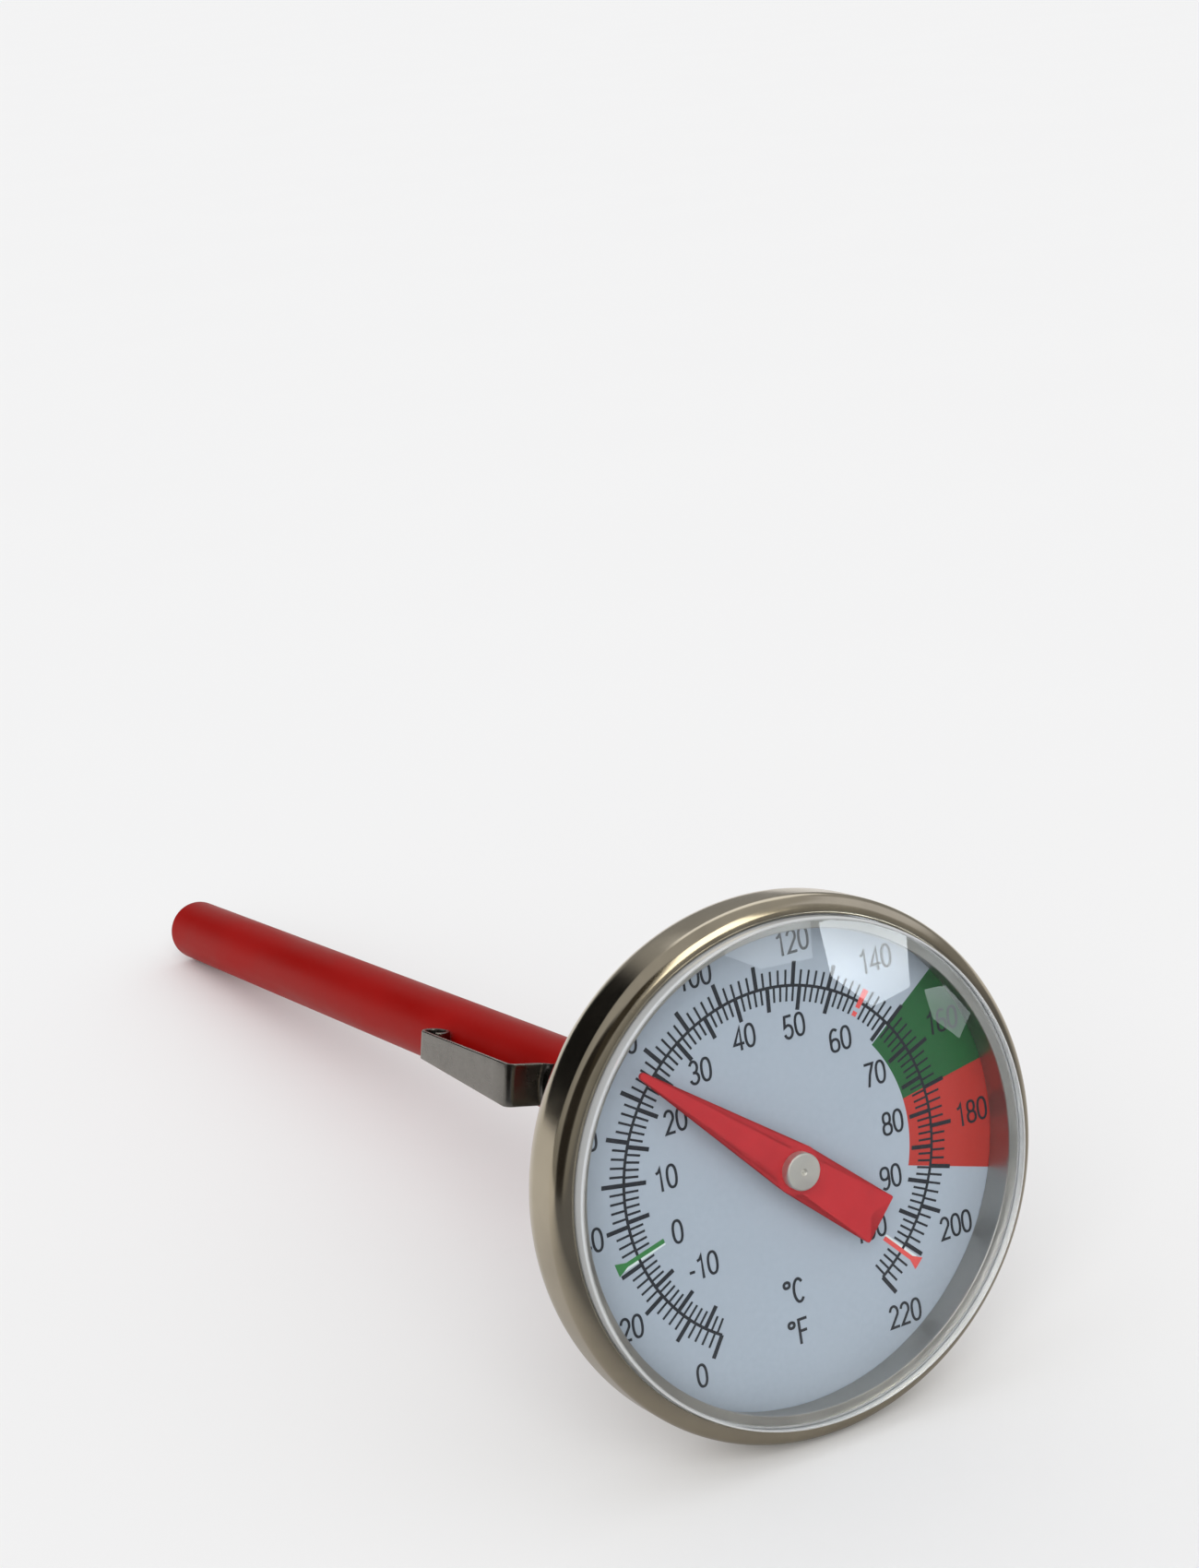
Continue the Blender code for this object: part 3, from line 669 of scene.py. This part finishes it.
def stroke_sides(points, closed, half):
    """The two sides of a line of that half width, mitred where it turns."""
    sides = ([], [])
    count = len(points)
    for i, point in enumerate(points):
        here = Vector(point)
        before = Vector(points[i - 1]) if closed or i else here
        after = Vector(points[(i + 1) % count]) if closed or i < count - 1 else here
        back = (here - before).normalized()
        ahead = (after - here).normalized()
        normal = Vector((-(back + ahead).y, (back + ahead).x)).normalized()
        leg = ahead if ahead.length else back
        across = Vector((-leg.y, leg.x))
        reach = half / max(0.45, normal.dot(across))
        for side, sign in zip(sides, (1, -1)):
            side.append(here + normal * reach * sign)
    return sides


def write(bm, text, x, y, height, layer=1.3):
    """Writes upright text centred on a point."""
    narrow = 1.2
    pen = x - sum(GLYPHS[letter][0] for letter in text) * height * narrow / 2
    for letter in text:
        width, strokes = GLYPHS[letter]
        for closed, points in strokes:
            placed = [(pen + px * height * narrow, y + (py - 0.5) * height) for px, py in points]
            left, right = stroke_sides(placed, closed, STROKE * height / 2)
            slab(bm, [tuple(p) for p in left], [tuple(p) for p in right], layer, closed)
        pen += width * height * narrow


def make_numerals():
    """The printed numerals. Each stands a little off its circle, to the side where its tick leaves room."""
    outer_radius, inner_radius, height = 17.7, 11.05, 2.06
    nudges = {
        0: (-0.66, -0.12), 20: (-0.48, -0.12), 40: (-0.3, 0), 60: (-0.8, 0), 80: (-0.9, 0.1),
        100: (-1.3, 0.1), 120: (-0.2, 0.6), 140: (0, 0.85), 160: (0.7, 0.7), 180: (1.04, 0.3),
        200: (0.42, -1.04), 220: (0, -1.1),
    }
    bm = bmesh.new()
    for fahrenheit, (right, up) in nudges.items():
        x, y = on_dial(outer_radius, dial_angle(fahrenheit))
        write(bm, str(fahrenheit), x + right, y + up, height)
    for celsius in range(-10, 101, 10):
        angle = dial_angle(fahrenheit_of(celsius))
        x, y = on_dial(inner_radius + 0.2 * math.cos(math.radians(angle)), angle)
        lift = 0.6 if celsius < 0 else 0
        right = 0.3 if celsius <= 20 else -0.15
        write(bm, str(celsius), x + right - lift / 2, y + 0.1 + lift, height)
    for text, radius, degrees in (("oC", 10.9, -176.6), ("oF", 14.35, -176.9)):
        x, y = on_dial(radius, degrees)
        write(bm, text, x, y, height * 1.08)
    add_piece("dial_numerals", bm, "head", BLACK_INK)


# ---------------------------------------------------------------- pointer

def pointer_outline():
    """Clockwise from the needle's root, in the pointer's own axes with the needle along +Y."""
    boss = 2.1
    root, tip = 1.2, 0.32
    tail_root, tail_end, tail, notch = 1.55, 2.2, 9.6, 8.5
    corner = 0.3

    def boss_points(start, end, steps=12):
        angles = [math.radians(start + (end - start) * i / steps) for i in range(1, steps)]
        return [(boss * math.cos(a), boss * math.sin(a)) for a in angles]

    def height_on_boss(half_width):
        return math.sqrt(boss**2 - half_width**2)

    tail_side = [
        (tail_root, -height_on_boss(tail_root)),
        (tail_end - 0.03, -(tail - corner)),
        (tail_end - 0.08, -(tail - 0.08)),
        (tail_end - corner, -tail + 0.03),
        (0.12, -notch - 0.04),
    ]
    point = ellipse(0, POINTER_LENGTH - tip, tip, tip, 0, 180, 8)
    needle_angle = math.degrees(math.acos(root / boss))
    tail_angle = math.degrees(math.acos(tail_root / boss))
    outline = [(root, height_on_boss(root))] + point + [(-root, height_on_boss(root))]
    outline += boss_points(180 - needle_angle, 180 + tail_angle)
    outline += [(-x, y) for x, y in tail_side] + tail_side[::-1]
    outline += boss_points(-tail_angle, needle_angle)
    return outline


def inset(outline, distance):
    """A closed outline moved inwards by a distance."""
    left, right = stroke_sides(outline, True, distance)
    middle = sum((Vector(point).length for point in outline)) / len(outline)
    spans = [sum(point.length for point in side) / len(side) for side in (left, right)]
    return [tuple(point) for point in (left if spans[0] < middle else right)]


def make_pointer():
    """A punched hand with broken edges."""
    outline = pointer_outline()
    chamfer = 0.06
    levels = [(0, POINTER_BACK), (0, POINTER_FACE - chamfer), (chamfer, POINTER_FACE)]
    turn = Matrix.Rotation(math.radians(-dial_angle(READING_F)), 3, "Z")
    bm = bmesh.new()
    skin(bm, [[turn @ Vector((x, y, z)) for x, y in inset(outline, painted_reflection_fade)] for painted_reflection_fade, z in levels])
    caps = [face for face in bm.faces if len(face.verts) > 4]
    bmesh.ops.triangulate(bm, faces=caps, ngon_method="EAR_CLIP")
    add_piece("pointer_hand", bm, "pointer", POINTER_RED, ["pointer"], sharp=20)


def make_cap():
    """A turned cap with a chamfer and a punched centre."""
    chamfer, dimple, dimple_floor, painted_reflection_fade = 0.14, 0.3, 0.14, 0.16
    hole = 0.53
    roof = 3.0
    profile = [(0, roof), (hole, roof), (hole, CAP_BACK), (CAP_RADIUS, CAP_BACK)]
    profile += arc((CAP_RADIUS - chamfer, CAP_FRONT - chamfer), chamfer, 0, 90, 6)
    profile += [(CAP_RADIUS - chamfer - 0.05, CAP_FRONT), (dimple + 0.05, CAP_FRONT), (dimple, CAP_FRONT)]
    profile += [(dimple_floor, CAP_FRONT - painted_reflection_fade), (0, CAP_FRONT - painted_reflection_fade / 2)]
    add_piece("cap_turned", turned(profile, 96), "pointer", CAP_METAL, ["pointer_cap"])


# ---------------------------------------------------------------- sheath and clip

def make_sheath():
    """A moulded tube with a bead round its mouth and a moulding mark on its closed end."""
    bore_end = SHEATH_END + 2.8
    bead_end = SHEATH_MOUTH - 3.0
    profile = [(0, bore_end), (SHEATH_BORE - 0.3, bore_end)]
    profile += arc((SHEATH_BORE - 0.3, bore_end + 0.3), 0.3, -90, 0, 5)
    profile += [(SHEATH_BORE, SHEATH_MOUTH - 0.25)]
    profile += arc((SHEATH_BORE + 0.25, SHEATH_MOUTH - 0.25), 0.25, 180, 90, 5)
    profile += arc((BEAD_RADIUS - 0.35, SHEATH_MOUTH - 0.35), 0.35, 90, 0, 6)
    profile += arc((BEAD_RADIUS - 0.6, bead_end + 0.3), 0.6, 0, -60, 6)
    profile += arc((SHEATH_RADIUS + 0.3, bead_end - 0.75), 0.3, 120, 180, 5)
    end_round = SHEATH_END_ROUND
    profile += arc((SHEATH_RADIUS - end_round, SHEATH_END + end_round), end_round, 0, -90, 10)
    recess, gate = SHEATH_END + 0.12, SHEATH_END + 0.02
    profile += [(1.1, SHEATH_END), (1.0, recess), (0.4, recess), (0.33, gate), (0, gate)]
    add_piece("sheath_tube", turned(profile, 128), "sheath", SHEATH_RED, ["sheath"])


def clip_path():
    """The strip's middle line as (z, height, half width, curl). Curl is the strip's bend across itself."""
    seat = SHEATH_RADIUS + 0.1 + CLIP_SHEET / 2
    root, tip_half = 2.0, 1.4
    bend = 0.6
    fillet = 2.0
    top = SHEATH_RADIUS + CLIP_STANDOFF - CLIP_SHEET / 2
    tip = SHEATH_RADIUS + CLIP_TIP_STANDOFF - CLIP_SHEET / 2
    full = 1 / seat
    path = []
    for i in range(9):
        z = CLIP_RING_BACK + 0.4 - (fillet * 0.95) * i / 8
        drop = min(max(CLIP_RING_BACK - z, 0), fillet)
        flare = fillet - math.sqrt(fillet**2 - (fillet - drop) ** 2)
        path.append((z, seat, root + flare, full))
    for i in range(1, 7):
        a = math.radians(15 * i)
        z, height = CLIP_STEP + bend * (1 - math.sin(a)), seat + bend * (1 - math.cos(a))
        path.append((z, height, root, full * 0.9**i))
    flat = path[-1][3]
    for i in range(7):
        a = math.radians(15 * i)
        curl = flat * (1 - (i + 1) / 7)
        path.append((CLIP_STEP - bend * (1 - math.cos(a)), top - bend * (1 - math.sin(a)), root, curl))
    start = CLIP_STEP - bend
    for i in range(1, 9):
        share = i / 8
        z, height = start + (CLIP_TIP - start) * share, top + (tip - top) * share
        path.append((z, height, root + (tip_half - root) * share, 0))
    roll = (tip - CLIP_SHEET / 2 - SHEATH_RADIUS) / 2
    for i in range(1, 28):
        a = math.radians(11 * i)
        path.append((CLIP_TIP - roll * math.sin(a), tip - roll * (1 - math.cos(a)), tip_half, 0))
    return path


def clip_section(station, along):
    """A rounded rectangle across the strip, curled about the sheath where the strip is seated on it."""
    z, height, half_width, curl = station
    normal_z, normal_out = -along.y, along.x
    round_edge = 0.11
    half = CLIP_SHEET / 2
    across = []
    steps = 8
    for i in range(steps + 1):
        across.append(((half_width - round_edge) * (2 * i / steps - 1), half))
    for degrees, side in ((60, 1), (30, 1), (0, 0), (-30, -1), (-60, -1)):
        a = math.radians(degrees)
        s = half_width - round_edge + round_edge * math.cos(a)
        across.append((s, (half - round_edge) * side + round_edge * math.sin(a)))
    section = []
    lower = [(s, -t) for s, t in reversed(across[:steps + 1])]
    left = [(-s, -t) for s, t in across[steps + 1:]]
    for s, t in across + lower + left:
        bend = s * curl
        sideways = math.sin(bend) / curl if curl > 1e-6 else s
        sag = (1 - math.cos(bend)) / curl if curl > 1e-6 else 0
        out = height - sag + t * normal_out * math.cos(bend)
        side = sideways + t * normal_out * math.sin(bend)
        section.append((out, side, z + t * normal_z))
    return section


def make_clip():
    """One strip of spring steel: a ring round the sheath, a step and an arm with a rolled tip."""
    path = clip_path()
    bm = bmesh.new()
    sections = []
    for i, station in enumerate(path):
        before, after = path[max(i - 1, 0)], path[min(i + 1, len(path) - 1)]
        along = Vector((before[0] - after[0], before[1] - after[1])).normalized()
        sections.append(clip_section(station, along))
    skin(bm, sections)
    bmesh.ops.rotate(bm, verts=bm.verts, cent=(0, 0, 0), matrix=Matrix.Rotation(CLIP_ANGLE, 3, "Z"))
    inner = SHEATH_RADIUS + 0.1
    outer = inner + CLIP_SHEET
    edge = 0.12
    ring = []
    for centre, start in (
        ((outer - edge, CLIP_RING_FRONT - edge), 0), ((inner + edge, CLIP_RING_FRONT - edge), 90),
        ((inner + edge, CLIP_RING_BACK + edge), 180), ((outer - edge, CLIP_RING_BACK + edge), 270),
    ):
        ring += arc(centre, edge, start, start + 90, 3)
    whole = carve(bm, turned(ring, 96), "UNION")
    add_piece("clip_strip", whole, "sheath", CLIP_STEEL, ["pocket_clip"])


# ---------------------------------------------------------------- stem

def make_nut():
    """A hexagon with turned chamfers, and a spigot through the case."""
    corner = NUT_ACROSS_FLATS / math.sqrt(3)
    angles = [math.radians(60 * i) for i in range(6)]
    outline = [(corner * math.cos(a), corner * math.sin(a)) for a in angles]
    nut = extruded(outline, NUT_BACK, NUT_FRONT)
    cut = 0.5
    reach = corner + 0.02
    chamfer = turned([
        (0, NUT_BACK), (corner - cut, NUT_BACK), (reach, NUT_BACK + cut * 0.6),
        (reach, NUT_FRONT - cut * 0.6), (corner - cut, NUT_FRONT), (0, NUT_FRONT),
    ], 128)
    nut = carve(nut, chamfer, "INTERSECT")
    middle = (NUT_BACK + NUT_FRONT) / 2
    for radius, low, high, operation in (
        (SPIGOT_RADIUS, middle, SPIGOT_END, "UNION"),
        (STEM_RADIUS + 0.05, NUT_BACK - 1, SPIGOT_END + 1, "DIFFERENCE"),
    ):
        nut = carve(nut, turned([(0, low), (radius, low), (radius, high), (0, high)], 96), operation)
    add_piece("nut_hexagon", nut, "stem", STEM_STEEL, ["calibration_nut"], sharp=20)


def make_stem():
    """The probe's tube, and the pointed plug that closes it."""
    bore = 1.55
    edge = 0.06
    tube = [
        (bore, STEM_BOTTOM), (STEM_RADIUS - edge, STEM_BOTTOM), (STEM_RADIUS, STEM_BOTTOM + edge),
        (STEM_RADIUS, STEM_TOP - edge), (STEM_RADIUS - edge, STEM_TOP), (bore, STEM_TOP),
    ]
    add_piece("probe_tube", turned(tube, 96), "stem", STEM_STEEL, ["stem_tube"])
    shoulder = TIP_SPIGOT - 1.2
    plug = bore - 0.05
    tip = [(0, TIP_SPIGOT), (plug, TIP_SPIGOT), (plug, shoulder), (TIP_RADIUS, shoulder)]
    tip += [(TIP_RADIUS, shoulder - 0.4), (0.62, TIP_POINT + 0.2)]
    tip += arc((0.4, TIP_POINT + 0.25), 0.25, -30, -90, 5)
    tip += [(0, TIP_POINT)]
    add_piece("probe_tip", turned(tip, 96), "stem", STEM_STEEL, ["stem_tip"])


def dress_cad_nodes():
    """The pieces inside keep their CAD meshes."""
    for node, material in (
        ("crystal_gasket", SILICONE), ("nut_seal", RUBBER), ("dial_spacer", GREY_PLASTIC),
        ("friction_washer", STEM_STEEL), ("retaining_ring", STEM_STEEL), ("spindle", STEM_STEEL),
        ("upper_bush", BRASS), ("lower_bush", BRASS), ("coil_anchor", BRASS), ("coil_coupler", BRASS),
        ("pointer_hub", BRASS), ("bimetal_coil", BIMETAL),
    ):
        frame["nodes"][node].data.materials.clear()
        frame["nodes"][node].data.materials.append(material)


# ---------------------------------------------------------------- stage

def make_floor():
    bm = bmesh.new()
    bmesh.ops.create_grid(bm, x_segments=8, y_segments=8, size=6.0)
    mesh = bpy.data.meshes.new("floor")
    bm.to_mesh(mesh)
    bm.free()
    mesh.materials.append(floor_material())
    floor = bpy.data.objects.new("floor", mesh)
    bpy.context.scene.collection.objects.link(floor)
    floor.location.z = cad_low.z - 0.00005


def heading_vector(heading, elevation):
    """A unit vector from a compass heading, clockwise from +Y, and an elevation, in degrees."""
    a, e = math.radians(heading), math.radians(elevation)
    return Vector((math.sin(a) * math.cos(e), math.cos(a) * math.cos(e), math.sin(e)))


class Sky(Surface):
    """The studio round the object. Polished metal sees soft boxes and dark screens in it."""

    def __init__(self):
        self.world = bpy.data.worlds.new("studio")
        bpy.context.scene.world = self.world
        self.world.use_nodes = True
        self.tree = self.world.node_tree
        self.tree.nodes.clear()
        self.coords = self.add("TexCoord").outputs["Generated"]

    def steep(self, value, start, end, low, high):
        node = self.add("MapRange", value, start, end, low, high, interpolation_type="SMOOTHSTEP")
        return node.outputs[0]

    def spot(self, heading, elevation, inner, outer):
        """1 inside a cone about a direction, falling to 0 outside it; the angles are in degrees."""
        near = self.along(heading_vector(heading, elevation))
        return self.steep(near, math.cos(math.radians(outer)), math.cos(math.radians(inner)), 0, 1)

    def along(self, direction):
        """The cosine of the angle between the ray and a direction."""
        product = self.add("VectorMath", self.coords, tuple(direction), operation="DOT_PRODUCT")
        return product.outputs["Value"]

    def panel(self, heading, elevation, half_width, half_height, soft):
        """1 inside a rectangle of sky, falling to 0 outside it; the sizes are in degrees."""
        centre = heading_vector(heading, elevation)
        across = heading_vector(heading + 90, 0)
        inside = None
        for axis, half in ((across, half_width), (centre.cross(across), half_height)):
            reach = self.math("ABSOLUTE", self.along(axis))
            start, end = (math.sin(math.radians(angle)) for angle in (half, half + soft))
            edge = self.steep(reach, start, end, 1, 0)
            inside = self.math("MULTIPLY", inside, edge) if inside else edge
        return self.math("MULTIPLY", inside, self.math("GREATER_THAN", self.along(centre), 0.0))


def make_world():
    """Diffuse surfaces get an even pale dome, so that the floor is even too."""
    sky = Sky()
    height = sky.add("SeparateXYZ", sky.coords).outputs[2]
    dome = sky.mix(sky.remap(height, 0, 1, start=0.0, end=1.0), (0.76, 0.76, 0.77), (0.86, 0.86, 0.86))
    room = sky.mix(sky.steep(height, 0.0, 0.9, 0, 1), (0.34, 0.33, 0.31), (0.62, 0.61, 0.6))
    for heading, elevation, inner, outer, level in (
        (-18, 11, 17, 25, (0.01, 0.01, 0.01)),
        (-118, 25, 26, 38, (0.035, 0.03, 0.025)),
        (-158, 44, 14, 22, (0.07, 0.06, 0.045)),
    ):
        room = sky.mix(sky.spot(heading, elevation, inner, outer), room, level)
    for heading, elevation, half_width, half_height, soft, level in (
        (160, 38, 9, 16, 2, (4.2, 4.0, 3.4)),
        (30, 38, 16, 9, 6, (1.6, 1.6, 1.6)),
        (100, 30, 20, 12, 8, (0.9, 0.9, 0.95)),
    ):
        room = sky.mix(sky.panel(heading, elevation, half_width, half_height, soft), room, level)
    lit = sky.mix(sky.mirrored(), dome, room)
    seen = sky.mix(sky.add("LightPath").outputs["Is Camera Ray"], lit, (0.9, 0.9, 0.9))
    background = sky.add("Background", seen)
    sky.add("OutputWorld", background.outputs[0])


def make_key_light():
    """One broad soft light from the left of the camera."""
    data = bpy.data.lights.new("key_light", "SUN")
    data.angle = math.radians(50)
    data.energy = 1.2
    lamp = bpy.data.objects.new("key_light", data)
    bpy.context.scene.collection.objects.link(lamp)
    lamp.rotation_mode = "QUATERNION"
    lamp.rotation_quaternion = heading_vector(-150, 35).to_track_quat("Z", "Y")
    lamp.visible_glossy = False


def pane_material(name, brightness):
    """Light from a window pane, a little uneven and fading towards its lower edge."""
    pane = Surface(name, (0, 0, 0), 1.0)
    cloud = pane.noise(6.0, detail=3)
    height = pane.add("SeparateXYZ", pane.coords).outputs[2]
    fade = pane.remap(height, 0.45, 1.0, start=0.018, end=0.024)
    glow = pane.math("MULTIPLY", fade, pane.remap(cloud, 0.75 * brightness, brightness))
    light = pane.add("Emission", (0.88, 0.95, 1.0, 1), glow)
    pane.tree.links.new(light.outputs[0], pane.tree.nodes["Material Output"].inputs["Surface"])
    return pane.material


def make_window_panes():
    """Bright panes low in front of the head, seen only in reflections. The crystal shows a window."""
    heading, distance = 149.5, 100
    panes = (
        (12.0, ((-0.9, 30.6), (-6.1, 31.1), (-10.4, 28.2), (-9.4, 21.3), (-4.9, 20.0), (-1.0, 24.4))),
        (9.0, ((-10.9, 20.7), (-13.3, 20.7), (-15.4, 17.0), (-13.6, 14.5), (-11.2, 17.2))),
        (3.5, ((9.2, 31.5), (3.1, 32.5), (-0.2, 32.0), (0.6, 26.8), (6.5, 26.8), (10.2, 29.2))),
    )
    outward = heading_vector(heading, 0)
    across = heading_vector(heading + 90, 0)
    foot = DIAL_FRAME.translation + outward * distance * MM
    foot.z = cad_low.z
    for i, (brightness, corners) in enumerate(panes):
        bm = bmesh.new()
        places = [foot + (across * side + Vector((0, 0, height))) * MM for side, height in corners]
        bm.faces.new([bm.verts.new(place) for place in places])
        mesh = bpy.data.meshes.new("window_pane")
        bm.to_mesh(mesh)
        bm.free()
        mesh.materials.append(pane_material("window_pane_%d" % i, brightness))
        pane = bpy.data.objects.new("window_pane_%d" % i, mesh)
        bpy.context.scene.collection.objects.link(pane)
        pane.visible_camera = False
        pane.visible_diffuse = False
        pane.visible_transmission = False
        pane.visible_shadow = False


def make_camera():
    """The photograph's view: close to the dial, above it and to its left, a little rolled."""
    offset = Vector((-108.4, 75.3, 195.1)) * MM
    aim = Vector((-10.9, 34.2, 0.5)) * MM
    roll = math.radians(-5.3)
    data = bpy.data.cameras.new("camera")
    data.lens = 65.8
    data.clip_start = 0.01
    camera = bpy.data.objects.new("camera", data)
    bpy.context.scene.collection.objects.link(camera)
    camera.location = DIAL_FRAME @ offset
    back = (DIAL_FRAME @ offset) - (DIAL_FRAME @ aim)
    camera.rotation_mode = "QUATERNION"
    camera.rotation_quaternion = back.to_track_quat("Z", "Y") @ Quaternion((0, 0, 1), roll)
    bpy.context.scene.camera = camera


make_camera()
make_case()
make_crystal()
make_wall_ring()
make_dial()
make_zones()
make_scale()
make_markers()
make_numerals()
make_pointer()
make_cap()
make_sheath()
make_clip()
make_nut()
make_stem()
dress_cad_nodes()
make_floor()
make_world()
make_key_light()
make_window_panes()
bpy.context.scene.view_settings.view_transform = "Standard"
